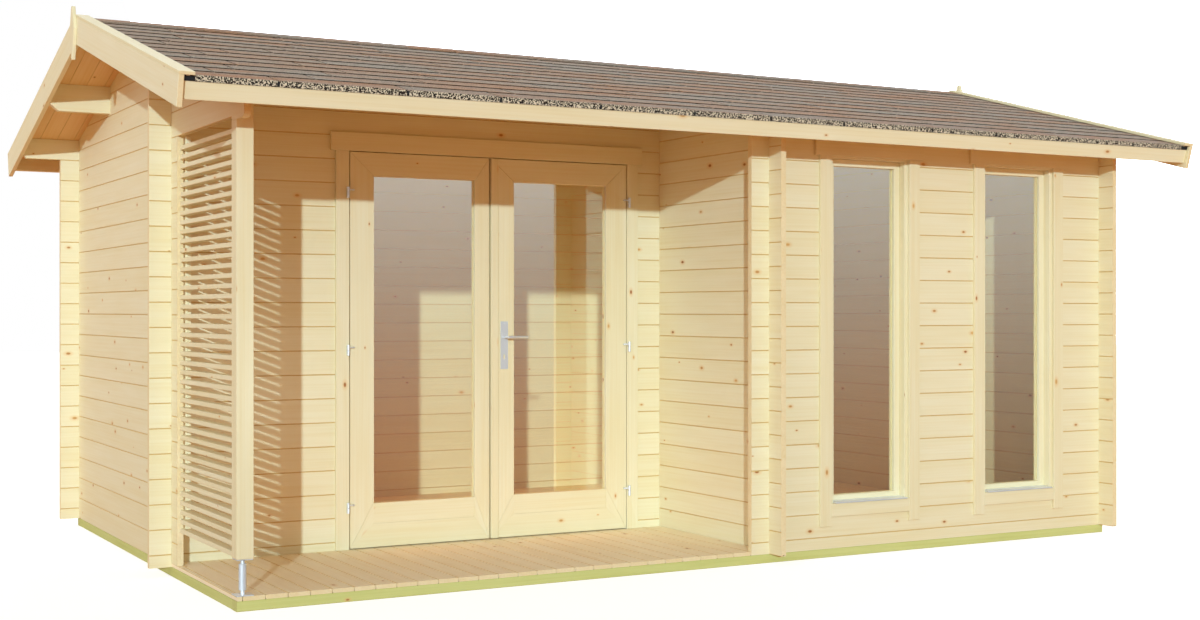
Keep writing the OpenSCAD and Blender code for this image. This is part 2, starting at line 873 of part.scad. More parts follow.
module meeting_strip() {
    placed() color(spruce) block(
        [right_leaf_x, leaf_y - seat - meet_strip_t, leaf_z0],
        [right_leaf_x + meet_strip_w, leaf_y - seat, leaf_z1]
    );
}

// The same piece on the right side of the doorway
module across_door() {
    translate([2 * door_mid, 0, 0]) mirror([1, 0, 0]) children();
}

// Studs of the lower hinge halves, straight back into the trim and the jamb
module frame_studs_left(play) {
    for (z = hinge_zs) {
        translate([leaf_x0 - hinge_side, hinge_y, z - hinge_h / 4]) rotate([-90, 0, 0])
            cylinder(h = hinge_out + hinge_stud_l + play, d = hinge_stud_d + 2 * play);
    }
}
module frame_hinge_studs(play) {
    frame_studs_left(play);
    across_door() frame_studs_left(play);
}

// Studs of the upper hinge halves, sideways and back into the leaf
module leaf_hinge_studs(play) {
    x = leaf_x0 + hinge_stud_d + hinge_side / 2;
    for (z = hinge_zs) {
        translate([x, hinge_y, z + hinge_h / 4]) rotate([-90, 0, 0])
            cylinder(h = hinge_out - leaf_proud + hinge_stud_l + play, d = hinge_stud_d + 2 * play);
    }
}

module frame_hinges() {
    placed() color(steel) {
        frame_hinge_studs(0);
        lower_hinge_halves();
        across_door() lower_hinge_halves();
    }
}

// Lower barrels with the pins that stand up into the leaf halves
module lower_hinge_halves() {
    for (z = hinge_zs) translate([leaf_x0 - hinge_side, hinge_y, z]) {
        translate([0, 0, -hinge_h / 2]) cylinder(h = hinge_h / 2 - hinge_play / 2, d = hinge_d);
        translate([0, 0, -hinge_h / 4]) cylinder(h = hinge_h / 2, d = hinge_pin_d);
    }
}

// Upper barrels, bored for the pins, with an arm to the stud
module upper_hinge_halves() {
    arm = hinge_side + hinge_stud_d + hinge_side / 2;
    leaf_hinge_studs(0);
    for (z = hinge_zs) translate([leaf_x0 - hinge_side, hinge_y, z]) difference() {
        union() {
            translate([0, 0, hinge_play / 2]) cylinder(h = hinge_h / 2 - hinge_play / 2, d = hinge_d);
            translate([0, 0, hinge_h / 4]) rotate([0, 90, 0]) cylinder(h = arm, d = hinge_stud_d);
        }
        translate([0, 0, -over])
            cylinder(h = hinge_h / 4 + hinge_play + over, d = hinge_pin_d + 2 * pin_play);
    }
}

module left_leaf_hinges() {
    placed() color(steel) upper_hinge_halves();
}

module right_leaf_hinges() {
    placed() color(steel) across_door() upper_hinge_halves();
}

// The spindle of the lever, or its bore
module spindle(d) {
    translate([lever_x, leaf_y - lever_out, lever_h]) rotate([-90, 0, 0])
        cylinder(h = leaf_t + 2 * lever_out, d = d);
}

module handle_plates() {
    z0 = lever_h - plate_below;
    placed() color(steel) difference() {
        for (y = [leaf_y - seat - plate_t, leaf_y + leaf_t + seat]) {
            block([lever_x - plate_w / 2, y, z0], [lever_x + plate_w / 2, y + plate_t, z0 + plate_h]);
        }
        spindle(spindle_d + 2 * pin_play);
        keyhole();
    }
}

// The keyhole through both plates, round at its ends
module keyhole() {
    reach_z = (keyhole_h - keyhole_w) / 2;
    z = lever_h - keyhole_below;
    along_y(leaf_y - lever_out, leaf_y + leaf_t + lever_out) {
        for (side = [-1, 1]) translate([lever_x, z + side * reach_z]) circle(d = keyhole_w);
        translate([lever_x - keyhole_w / 2, z - reach_z]) square([keyhole_w, 2 * reach_z]);
    }
}

// A lever on each face of the leaf, on one spindle
module handle_lever() {
    placed() color(steel) {
        spindle(spindle_d);
        for (y = [leaf_y - lever_out, leaf_y + leaf_t + lever_out]) {
            translate([lever_x, y, lever_h]) {
                sphere(d = lever_d);
                rotate([0, 90, 0]) cylinder(h = lever_l, d = lever_d);
            }
        }
    }
}

// The same piece at both windows
module at_windows() {
    for (x = window_mids) translate([x, 0, 0]) children();
}

module window_frames() {
    half = window_w / 2;
    outer = half + window_jamb_t;
    placed() color(spruce) at_windows() {
        block([-outer, 0, window_z + seat], [outer, window_d, window_low]);
        block([-outer, 0, window_head_z], [outer, window_d, opening_z - settle_gap]);
        block([-outer, 0, window_low + seat], [-half, window_d, window_head_z - seat]);
        block([half, 0, window_low + seat], [outer, window_d, window_head_z - seat]);
    }
}

// Mitred sash members, grooved for the pane
module window_sashes() {
    half = window_w / 2 - seat;
    low = window_low + seat;
    top = window_head_z - seat;
    inner = half - sash_w;
    placed() color(spruce) at_windows() difference() {
        along_y(sash_in, sash_in + sash_t) {
            for (side = [-1, 1]) polygon([
                [side * half, low], [side * inner, low + sash_w],
                [side * inner, top - sash_w], [side * half, top]
            ]);
            polygon([
                [log_gap - half, low], [half - log_gap, low],
                [inner - log_gap, low + sash_w], [log_gap - inner, low + sash_w]
            ]);
            polygon([
                [log_gap - half, top], [half - log_gap, top],
                [inner - log_gap, top - sash_w], [log_gap - inner, top - sash_w]
            ]);
        }
        window_pane(seat);
    }
}

// The pane of a window about its middle, or its groove when it is grown by a clearance
module window_pane(play) {
    reach_x = window_w / 2 - seat - sash_w + glass_seat + play;
    y = sash_in + sash_t / 2;
    block(
        [-reach_x, y - glass_t / 2 - play, window_low + seat + sash_w - glass_seat - play],
        [reach_x, y + glass_t / 2 + play, window_head_z - seat - sash_w + glass_seat + play]
    );
}

module window_glass() {
    placed() color(pane) at_windows() window_pane(0);
}

module window_trim() {
    reveal = window_jamb_t / 2;
    half = window_w / 2 + reveal;
    apron_top = window_low + seat;
    low = apron_top - apron_h - trim_past;
    placed() color(spruce) at_windows() {
        trims(-half, half, 0, low, window_head_z + reveal / 2);
        block([seat - half, -trim_t - seat, apron_top - apron_h], [half - seat, -seat, apron_top]);
    }
}

module window_drips() {
    half = window_w / 2;
    z = window_low + 2 * seat;
    placed() color(steel) at_windows() along_x(-half + seat, half - seat) polygon([
        [-drip_out, z], [sash_in - seat, z], [sash_in - seat, z + drip_t], [-drip_out, z + drip_t / 2]
    ]);
}

base_beams();
terrace_deck();
room_floor();
rear_wall();
left_wall();
left_gable();
right_wall();
right_gable();
terrace_side_wall();
front_wall_sill();
front_wall_left_pier();
front_wall_middle_pier();
front_wall_right_pier();
front_wall_head();
door_wall_left_pier();
door_wall_right_pier();
door_wall_head();
purlins();
front_roof_boards();
rear_roof_boards();
front_shingles();
rear_shingles();
ridge_cap();
barge_boards();
verge_covers();
gable_finials();
eave_fascias();
corner_post();
post_foot();
louvre_screen();
door_frame();
door_sill();
door_trim();
left_leaf_frame();
left_leaf_glass();
right_leaf_frame();
right_leaf_glass();
meeting_strip();
frame_hinges();
left_leaf_hinges();
right_leaf_hinges();
handle_plates();
handle_lever();
window_frames();
window_sashes();
window_glass();
window_trim();
window_drips();
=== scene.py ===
"""Looks of a log cabin with a corner terrace: spruce, felt shingles, treated base beams, steel and glass."""
import math
import random

import bmesh
import bpy
from mathutils import Matrix, Vector


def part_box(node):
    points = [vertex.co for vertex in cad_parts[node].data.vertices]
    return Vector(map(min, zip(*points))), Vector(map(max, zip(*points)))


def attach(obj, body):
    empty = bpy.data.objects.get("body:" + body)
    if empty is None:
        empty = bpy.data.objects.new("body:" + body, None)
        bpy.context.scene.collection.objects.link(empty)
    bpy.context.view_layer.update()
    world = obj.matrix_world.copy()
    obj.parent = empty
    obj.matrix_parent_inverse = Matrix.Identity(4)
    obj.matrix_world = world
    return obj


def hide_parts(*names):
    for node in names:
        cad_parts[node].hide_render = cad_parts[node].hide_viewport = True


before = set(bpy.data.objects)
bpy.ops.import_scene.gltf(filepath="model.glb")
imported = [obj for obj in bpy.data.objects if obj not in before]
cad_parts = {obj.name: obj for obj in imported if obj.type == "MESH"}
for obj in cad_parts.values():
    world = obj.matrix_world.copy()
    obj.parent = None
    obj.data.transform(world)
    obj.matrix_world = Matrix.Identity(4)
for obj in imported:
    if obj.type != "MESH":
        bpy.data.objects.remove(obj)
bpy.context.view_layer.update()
scene = bpy.context.scene

MM = 0.001
SEAT = 0.3 * MM                     # gap between pieces that rest on each other

# Timber
SOFT_ARRIS = 2 * MM                 # eased edges of beams, deck boards, slats and the meeting strip
ROOF_ARRIS = 1.6 * MM               # of the roof boards
JOINERY_ARRIS = 1.5 * MM            # of frames, trim, post, purlins and verge boards
LEAF_ARRIS = 1.2 * MM               # of the door leaves
FLOOR_ARRIS = 1 * MM                # of the floor boards
EASED_EDGE = 60 * MM                # shorter edges of joinery stay sharp
EASED_BOARD_EDGE = 300 * MM         # and shorter edges of boards
MITRE = 1 * MM                      # gap in the mitres of the door leaves
DECK_FIRST = 24 * MM                # narrow board at the left of the deck
DECK_BOARD = 94.3 * MM              # from joint to joint
DECK_GAP = 3 * MM
FLOOR_BOARD = 94 * MM
ROOF_BOARD = 89 * MM
ROOF_BOARD_T = 18 * MM              # thickness
CLOSE_GAP = 0.6 * MM                # between tongued boards, on the floor and the roof
LOG_T = 28 * MM                     # thickness of the wall logs
WOOD_REACH = 40                     # metres of grain that the sticks are picked from

# Louvre screen
SLAT_H = 20 * MM
SLAT_COUNT = 42
SLAT_IN = 1 * MM                    # from the battens' inner face to that of the slats
BATTEN_W = 22 * MM                  # uprights that hold the slats
BATTEN_GAP = 5 * MM                 # from the wall's inner face to the rear batten

# Roof covering
PITCH = math.radians(15.2)
COURSE = 145 * MM                   # exposed length of a course of shingles
COURSE_IN = 8 * MM                  # from the ridge to the top course
SHINGLE_BUTT = 6 * MM               # lower edge of a shingle, off the boards
SHINGLE_TOP = 3 * MM                # its upper edge, and the thickness of a ridge strip
TAB_WIDTHS = (410 * MM, 470 * MM, 530 * MM)
TAB_FIRST = 0.3                     # least share of a width for the first shingle of a course
TAB_LAST = 150 * MM                 # least width of the last one
HALF_SLOT = 5.5 * MM                # from a joint to the shingle's side
FELT = 1.2 * MM                     # thickness of the felt under the shingles
FELT_IN = 5 * MM                    # from the ridge to the felt
FELT_SHORT = 2 * MM                 # from the eave edge to the felt
FOLD = 3 * MM                       # the fold over the eave, off the ends of the boards
FOLD_IN = 40 * MM                   # from the verge to the fold
FOLD_LIFT = 0.5 * MM                # from the underside of the boards to the felt's lower edge
CAP_FLAP = 110 * MM                 # ridge strip, down each slope
CAP_GAP = 1 * MM
# Slots along the front eave, in millimetres from the left wall's outer face
EAVE_SLOTS = (69, 603, 1014, 1487, 1961, 2371, 2784, 3317, 3724, 4143, 4673)

# Steel
STEEL_ARRIS = 0.8 * MM
SCREW_R = 4 * MM
SCREW_TOP_R = 3.2 * MM
SCREW_H = 1.6 * MM
SCREW_SIDES = 20
SCREW_IN = 11 * MM                  # from the ends of the handle plates
SCREW_RIM = 1.4 * MM                # round the recess
SCREW_RECESS = 0.7 * MM

# Mesh work
WELD = 0.02 * MM                    # corners closer than this are one
SAW_REACH = 0.001 * MM              # corners closer than this to a saw cut lie on it
FLAT = math.radians(0.5)            # faces closer than this to one plane are one
SHARP = math.radians(40)            # edges sharper than this get eased
SMOOTH = math.radians(32)           # steel is smooth over edges flatter than this

# Materials by their place in a piece's list, after the first, which is that of its faces
# The joint material on timber is painted shade in the grooves
SAWN_END, JOINT_PAINTED_SHADE = 1, 2
CORE, EAVE, BUTT = 1, 2, 3


# Materials

def linear(colour):
    """An sRGB hex colour as linear RGBA."""
    parts = [int(colour[i:i + 2], 16) / 255 for i in (1, 3, 5)]
    return [c / 12.92 if c <= 0.04045 else ((c + 0.055) / 1.055) ** 2.4 for c in parts] + [1]


def add(tree, kind, settings=None, links=None, out=0):
    """Adds a shader node; links are values or other nodes' outputs. Returns one of its outputs."""
    node = tree.nodes.new("ShaderNode" + kind)
    for name, value in (settings or {}).items():
        setattr(node, name, value)
    for name, value in (links or {}).items():
        if isinstance(value, bpy.types.NodeSocket):
            tree.links.new(value, node.inputs[name])
        else:
            node.inputs[name].default_value = value
    return node.outputs[out] if node.outputs else node


def calc(tree, operation, *values, clamp=False):
    """One step of arithmetic on up to three values."""
    return add(tree, "Math", {"operation": operation, "use_clamp": clamp}, dict(enumerate(values)))


def remap(tree, value, low, high, to_low=0.0, to_high=1.0):
    """A value carried from one range to another, and held inside it."""
    return add(tree, "MapRange", links={
        "Value": value, "From Min": low, "From Max": high, "To Min": to_low, "To Max": to_high})


def mix(tree, share, first, second, blend="MIX"):
    """Two colours mixed."""
    settings = {"data_type": "RGBA", "blend_type": blend}
    return add(tree, "Mix", settings, {0: share, 6: first, 7: second}, 2)


def stretch(tree, place, per_metre):
    """A place measured in so many patches to the metre along each axis."""
    return add(tree, "VectorMath", {"operation": "MULTIPLY"}, {0: place, 1: per_metre})


def noise(tree, place, per_metre, detail, roughness=0.5, plane=False):
    """Cloudy noise with so many patches to the metre along each axis, in space or in a plane."""
    return add(tree, "TexNoise", {"noise_dimensions": "2D" if plane else "3D"}, {
        "Vector": stretch(tree, place, per_metre), "Scale": 1, "Detail": detail, "Roughness": roughness})


def new_material(name):
    """An empty node material."""
    material = bpy.data.materials.new(name)
    material.use_nodes = True
    material.node_tree.nodes.clear()
    return material, material.node_tree


# How far from pale to dark each of these takes planed wood: the stick itself, a slow drift along it, its fine
# streaks and its broad ones, after an even step back that keeps most of the wood pale
STICK_TONE, DRIFT_TONE, FINE_TONE, STREAK_TONE = 0.24, 0.5, 0.2, 0.3
PALE_STEP = -0.2
# Patches of the grain along and across the stick, in metres
STREAK = (0.8, 0.011)
FINE = (0.2, 0.003)
DRIFT = (0.5, 0.06)
END_SPECK = 1 / 90
# One place for a knot in each patch; a patch, like a knot, is longer along the stick
KNOT_PATCH = 0.16
KNOT_SQUEEZE = 0.55
KNOT_LEAST = 2.2 * MM
KNOT_MOST = 7.5 * MM


def knotted(tree, grain, colour, share):
    """The colour of wood with knots in a share of the patches: a red-brown heart in a warm halo."""
    spot = stretch(tree, grain, (KNOT_SQUEEZE / KNOT_PATCH, 1 / KNOT_PATCH, 1))
    flat, cells = {"voronoi_dimensions": "2D"}, {"Vector": spot, "Scale": 1, "Randomness": 1}
    away = add(tree, "TexVoronoi", flat, cells, "Distance")
    draw = add(tree, "SeparateColor", links={0: add(tree, "TexVoronoi", flat, cells, "Color")}).node
    size, age = draw.outputs[0], draw.outputs[1]
    radius = remap(tree, size, 1 - share, 1, KNOT_LEAST / KNOT_PATCH, KNOT_MOST / KNOT_PATCH)
    radius = calc(tree, "MULTIPLY", radius, calc(tree, "GREATER_THAN", size, 1 - share))
    # Distance from the knot's middle, where 1 is its rim
    near = calc(tree, "DIVIDE", away, calc(tree, "MAXIMUM", radius, 0.0001))
    core = remap(tree, near, 0.6, 1.2, 1, 0)
    halo = remap(tree, near, 0.9, 2.8, 0.55, 0)
    heart = mix(tree, age, linear("#9c5a2a"), linear("#d8a866"))
    colour = mix(tree, halo, colour, linear("#e2b673"))
    return mix(tree, core, colour, heart)


def planed_wood(name, pale, dark, knot_share, end_grain=False):
    """Planed softwood: long pale and darker growth streaks, knots and a tone of its own per stick.

    The UV map "grain" is in metres with U along the stick.
    """
    material, tree = new_material(name)
    grain = add(tree, "UVMap", {"uv_map": "grain"})
    stick = add(tree, "NewGeometry", out="Random Per Island")

    def figure(patch, detail, roughness=0.5):
        return noise(tree, grain, (1 / patch[0], 1 / patch[1], 1), detail, roughness, plane=True)

    streaks = figure((END_SPECK, END_SPECK) if end_grain else STREAK, 3, 0.55)
    # Only the upper part of the noise shows as streaks
    streaked = remap(tree, streaks, 0.4, 0.75)
    tone = calc(tree, "MULTIPLY_ADD", stick, STICK_TONE, PALE_STEP)
    tone = calc(tree, "MULTIPLY_ADD", figure(DRIFT, 1), DRIFT_TONE, tone)
    tone = calc(tree, "MULTIPLY_ADD", figure(FINE, 2), FINE_TONE, tone)
    tone = calc(tree, "MULTIPLY_ADD", streaked, STREAK_TONE, tone, clamp=True)
    colour = mix(tree, tone, linear(pale), linear(dark))
    if knot_share:
        colour = knotted(tree, grain, colour, knot_share)
    bump = add(tree, "Bump", links={"Height": streaks, "Strength": 0.25, "Distance": 0.6 * MM})
    shader = add(tree, "BsdfPrincipled", links={
        "Base Color": colour, "Roughness": 0.58, "Specular IOR Level": 0.3, "Normal": bump})
    add(tree, "OutputMaterial", links={"Surface": shader})
    return material


# Spruce: planed and untreated, so it is pale cream with straw-coloured streaks and hardly any gloss
spruce = planed_wood("planed_spruce", "#eee4c2", "#e5d3a0", 0.42)
# The sawn ends are a little browner, with specks and no figure along the stick
spruce_end = planed_wood("sawn_spruce_end", "#efddb3", "#e3c890", 0, end_grain=True)
# The chamfers in the joints between the logs and between the boards are browner still: painted shade in the
# grooves
spruce_joint_painted_shade = planed_wood("chamfered_spruce_joint_painted_shade", "#e2c589", "#d2ae6a", 0)
# Deck boards: the same spruce, made paler and a little pinker: painted light on the deck
spruce_deck_painted_light = planed_wood("planed_spruce_deck_painted_light", "#fff1d3", "#f5ddb0", 0.35)
# Roof boards: spruce the colour of honey, darker and more orange than the walls: painted shade under the roof
spruce_roof_painted_shade = planed_wood("planed_spruce_roof_board_painted_shade", "#eecb94", "#e0b474", 0.5)
# Pressure-treated pine: the copper salts leave it a yellow green
treated = planed_wood("treated_pine", "#d4d58c", "#bdbe65", 0.2)
treated_end = planed_wood("treated_pine_end", "#cecd86", "#b5b361", 0, end_grain=True)

# Slate grains are about 1.5 mm; they are drawn wider so that they show
GRAIN = 6 * MM
# Blotches of two tones, along the eave and down the slope: one course deep
BLOTCH = (0.45, 0.1)
TAB_TONE = 0.2                      # how far a shingle's own tone goes


def felt_shingle(name, light, dark, blotchy):
    """Bitumen felt with crushed slate: matt, in blotches of two tones or with grains on a dark ground."""
    material, tree = new_material(name)
    place = add(tree, "TexCoord", out="Object")
    grit = noise(tree, place, [1 / GRAIN] * 3, 1, 0.6)
    if blotchy:
        blotch = noise(tree, place, (1 / BLOTCH[0], 1 / BLOTCH[1], 1), 3, 0.6)
        tab = add(tree, "NewGeometry", out="Random Per Island")
        rust = remap(tree, calc(tree, "MULTIPLY_ADD", tab, TAB_TONE, blotch), 0.46, 0.8)
        # Between the grains it is up to a half darker
        dust = mix(tree, remap(tree, grit, 0.35, 0.65), linear("#b4b4b4"), linear("#ffffff"))
        colour = mix(tree, 1.0, mix(tree, rust, linear(light), linear(dark)), dust, "MULTIPLY")
    else:
        # A narrow range, so that each grain has a clear rim
        colour = mix(tree, remap(tree, grit, 0.475, 0.565), linear(dark), linear(light))
    bump = add(tree, "Bump", links={"Height": grit, "Strength": 0.5, "Distance": 1 * MM})
    shader = add(tree, "BsdfPrincipled", links={
        "Base Color": colour, "Roughness": 0.92, "Specular IOR Level": 0.2, "Normal": bump})
    add(tree, "OutputMaterial", links={"Surface": shader})
    return material


# The faces are slate grey with rusty brown blotches
shingle_face = felt_shingle("slate_felt_shingle", "#afa190", "#c0916d", True)
# The cut edges are bitumen with a few grains
shingle_butt = felt_shingle("slate_felt_butt", "#352d27", "#191512", False)
# Where the felt folds over the eave its grains stand apart, cream on black
shingle_edge = felt_shingle("slate_felt_eave", "#dcd2b8", "#2a2622", False)

ROUGHNESS_SPREAD = 0.08             # how far the pattern takes a hard finish from its roughness


def plain(name, colour, roughness, metallic, per_metre, depth):
    """A hard finish of one colour with a fine pattern in its roughness, brushed or mottled."""
    material, tree = new_material(name)
    pattern = noise(tree, add(tree, "TexCoord", out="Object"), per_metre, 2)
    shader = add(tree, "BsdfPrincipled", links={
        "Base Color": linear(colour), "Metallic": metallic,
        "Roughness": remap(tree, pattern, 0, 1, roughness - ROUGHNESS_SPREAD, roughness + ROUGHNESS_SPREAD),
        "Normal": add(tree, "Bump", links={"Height": pattern, "Strength": 0.2, "Distance": depth})})
    add(tree, "OutputMaterial", links={"Surface": shader})
    return material


# Bitumen: the black core of the felt, matt, seen only in the slots between the shingles
bitumen = plain("bitumen_core", "#1b1a19", 0.85, 0.0, (300, 300, 300), 0.5 * MM)
# Stainless steel, brushed along the handle: scratches 1 mm wide and 40 mm long, on a pale soft shine
steel = plain("brushed_stainless_steel", "#e0e2e4", 0.36, 0.55, (25, 1000, 1000), 0.1 * MM)
# Zinc-plated steel of the foot, the hinges and the drip rails: a soft blue-white mottle
zinc = plain("zinc_plated_steel", "#e6e8ea", 0.42, 0.6, (120, 120, 120), 0.1 * MM)


def window_glass():
    """Clear double glazing: it shows the room a little warmer, under a grey sheen that grows at a slant."""
    material, tree = new_material("clear_double_glazing")
    clear = add(tree, "BsdfTransparent", links={"Color": linear("#faf7f0")})
    sheen = add(tree, "BsdfGlossy", links={"Roughness": 0.0, "Color": linear("#6e7978")})
    mirror = add(tree, "BsdfGlossy", links={"Roughness": 0.0, "Color": linear("#f8f9fc")})
    # The same mirroring from both sides, and all of the light at a full slant
    facing = add(tree, "LayerWeight", links={"Blend": 0.5}, out="Facing")
    slant = calc(tree, "POWER", facing, 5)
    # The sun comes in whole
    lit = calc(tree, "SUBTRACT", 1.0, add(tree, "LightPath", out="Is Shadow Ray"))
    straight = add(tree, "AddShader", links={0: clear, 1: sheen})
    shader = add(tree, "MixShader", links={0: calc(tree, "MULTIPLY", slant, lit), 1: straight, 2: mirror})
    add(tree, "OutputMaterial", links={"Surface": shader})
    return material


glass = window_glass()


# Pieces

def finish_piece(name, bm, body, materials, stands_for=()):
    """Puts a modelled shape into the scene as one piece that rides on a body."""
    mesh = bpy.data.meshes.new(name)
    bm.to_mesh(mesh)
    bm.free()
    for material in materials:
        mesh.materials.append(material)
    piece = bpy.data.objects.new(name, mesh)
    scene.collection.objects.link(piece)
    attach(piece, body)
    if stands_for:
        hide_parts(*stands_for)
    return piece


def solid_copy(node):
    """The CAD solids of a node, merged and with their flat faces whole."""
    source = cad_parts[node]
    bm = bmesh.new()
    bm.from_mesh(source.data)
    bm.transform(source.matrix_world)
    bmesh.ops.remove_doubles(bm, verts=bm.verts, dist=WELD)
    bmesh.ops.dissolve_limit(bm, angle_limit=FLAT, verts=bm.verts, edges=bm.edges)
    return bm


def sticks(bm):
    """The separate solids of a shape, as lists of faces."""
    left = set(bm.faces)
    while left:
        found = [left.pop()]
        for face in found:
            for edge in face.edges:
                for other in edge.link_faces:
                    if other in left:
                        left.remove(other)
                        found.append(other)
        yield found


def ease(bm, edges, size, clamp):
    """Planes a flat off edges."""
    bmesh.ops.bevel(bm, geom=edges, offset=size, offset_type="OFFSET", affect="EDGES", segments=1,
                    profile=0.5, material=-1, clamp_overlap=clamp)


def ease_arrises(bm, size, shortest=EASED_EDGE):
    """Breaks the long sharp edges of a piece."""
    sharp = [e for e in bm.edges if e.calc_length() > shortest and e.calc_face_angle(0) > SHARP]
    ease(bm, sharp, size, True)


def length_and_place(edge):
    """An edge's length to 0.01 mm and its ends, so that edges of one length have an order too."""
    return round(edge.calc_length(), 5), sorted(tuple(v.co) for v in edge.verts)


def lay_grain(bm, seed, chamfers=False):
    """Runs the grain along each stick, from its own place in the wood, and marks sawn ends, and chamfers that
    take painted joint shade.
    """
    pick = random.Random(seed)
    bm.normal_update()
    layer = bm.loops.layers.uv.new("grain")
    for faces in sorted(sticks(bm), key=lambda fs: min(tuple(v.co) for f in fs for v in f.verts)):
        longest = max((e for f in faces for e in f.edges), key=length_and_place)
        along = (longest.verts[1].co - longest.verts[0].co).normalized()
        # One way along the stick, whichever way the edge runs
        if tuple(round(c, 3) for c in along) < (0, 0, 0):
            along.negate()
        start = Vector((pick.uniform(0, WOOD_REACH), pick.uniform(0, WOOD_REACH)))
        for face in faces:
            across = face.normal.cross(along)
            u_way = along
            runs_along, cut_across = across.length > 0.99, across.length < 0.5
            leans = 0.3 < abs(face.normal.z) < 0.9
            # Leaning chamfers along the stick take the painted shade of a joint
            if chamfers and runs_along and leans:
                face.material_index = JOINT_PAINTED_SHADE
            if cut_across:
                face.material_index = SAWN_END
                across = face.normal.orthogonal().normalized()
                u_way = face.normal.cross(across)
            across.normalize()
            for loop in face.loops:
                loop[layer].uv = start + Vector((loop.vert.co.dot(u_way), loop.vert.co.dot(across)))


def timber(node, body="root", arris=0.0):
    """A node of timber with its grain along each piece; logs keep their chamfers, which take painted joint
    shade, others get eased edges.
    """
    bm = solid_copy(node)
    if arris:
        ease_arrises(bm, arris)
    lay_grain(bm, node, not arris)
    finish_piece(node + "_wood", bm, body, [spruce, spruce_end, spruce_joint_painted_shade], [node])


def saw(bm, point, normal):
    """Saws off what lies beyond a plane, and closes the cut."""
    cut = bmesh.ops.bisect_plane(
        bm, geom=bm.verts[:] + bm.edges[:] + bm.faces[:], dist=SAW_REACH,
        plane_co=point, plane_no=normal, clear_outer=True)
    bmesh.ops.holes_fill(bm, edges=[e for e in cut["geom_cut"] if isinstance(e, bmesh.types.BMEdge)], sides=0)


def join_into(whole, bm):
    """Adds a finished stick to a shape."""
    mesh = bpy.data.meshes.new("stick")
    bm.to_mesh(mesh)
    bm.free()
    whole.from_mesh(mesh)
    bpy.data.meshes.remove(mesh)


def boards(name, node, joints, gap, arris, wood):
    """A slab of timber sawn along Y into boards at the joints; the eased edges along the boards take painted
    joint shade.
    """
    whole = bmesh.new()
    for left, right in zip(joints, joints[1:]):
        bm = solid_copy(node)
        for x, way in ((left + gap / 2, -1), (right - gap / 2, 1)):
            saw(bm, (x, 0, 0), (way, 0, 0))
        bmesh.ops.recalc_face_normals(bm, faces=bm.faces)
        ease_arrises(bm, arris, EASED_BOARD_EDGE)
        lay_grain(bm, name + str(len(whole.faces)), True)
        join_into(whole, bm)
    finish_piece(name, whole, "root", [wood, spruce_end, spruce_joint_painted_shade], [node])


def corners(node):
    """The corners of a node's box in X and Z, from the lower left one round."""
    low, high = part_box(node)
    return [Vector((x, 0, z)) for x, z in (
        (low[0], low[2]), (high[0], low[2]), (high[0], high[2]), (low[0], high[2]))]


def mitred_leaf(node, pane, body):
    """A leaf's frame as four sticks, mitred from its outer corners to the corners of the pane."""
    outer, inner = corners(node), corners(pane)
    middle = (inner[0] + inner[2]) / 2
    whole = bmesh.new()
    for i in range(4):
        j = (i + 1) % 4
        side = outer[j] - outer[i]
        cuts = [(middle, Vector((-side.z, 0, side.x)).normalized())]
        for corner, way in ((i, -1), (j, 1)):
            slope = inner[corner] - outer[corner]
            across = way * Vector((slope.z, 0, -slope.x)).normalized()
            cuts.append((outer[corner] - across * MITRE / 2, across))
        bm = solid_copy(node)
        for point, normal in cuts:
            saw(bm, point, normal)
        bmesh.ops.recalc_face_normals(bm, faces=bm.faces)
        ease_arrises(bm, LEAF_ARRIS)
        lay_grain(bm, node + str(i))
        join_into(whole, bm)
    finish_piece(node + "_wood", whole, body, [spruce, spruce_end], [node])


def even_joints(low, high, width):
    """Joints of boards about a width apart, from one side to the other."""
    count = max(1, round((high - low) / width))
    return [low + (high - low) * i / count for i in range(count + 1)]


def box_into(bm, low, high, arris=0.0, material=0):
    """Adds a block to a shape, with eased edges if asked."""
    low, high = Vector(low), Vector(high)
    made = bmesh.ops.create_cube(bm, size=1, matrix=Matrix.LocRotScale(
        (low + high) / 2, None, high - low))
    faces = {f for v in made["verts"] for f in v.link_faces}
    for face in faces:
        face.material_index = material
    if arris:
        ease(bm, [e for e in bm.edges if e.link_faces[0] in faces], arris, False)
    return made["verts"]


# Walls, carrying timbers and joinery, from the CAD solids
for wall in ("rear_wall", "left_wall", "left_gable", "right_wall", "right_gable", "terrace_side_wall",
             "front_wall_sill", "front_wall_left_pier", "front_wall_middle_pier", "front_wall_right_pier",
             "front_wall_head", "door_wall_left_pier", "door_wall_right_pier", "door_wall_head"):
    timber(wall)
for joinery in ("purlins", "barge_boards", "verge_covers", "eave_fascias", "corner_post", "gable_finials",
                "door_frame", "door_sill", "door_trim", "window_frames", "window_sashes", "window_trim"):
    timber(joinery, arris=JOINERY_ARRIS)
mitred_leaf("left_leaf_frame", "left_leaf_glass", "left_door")
mitred_leaf("right_leaf_frame", "right_leaf_glass", "right_door")
timber("meeting_strip", "right_door", SOFT_ARRIS)

# Base beams of treated pine
base = solid_copy("base_beams")
ease_arrises(base, SOFT_ARRIS)
lay_grain(base, "base")
finish_piece("base_beams_wood", base, "root", [treated, treated_end], ["base_beams"])

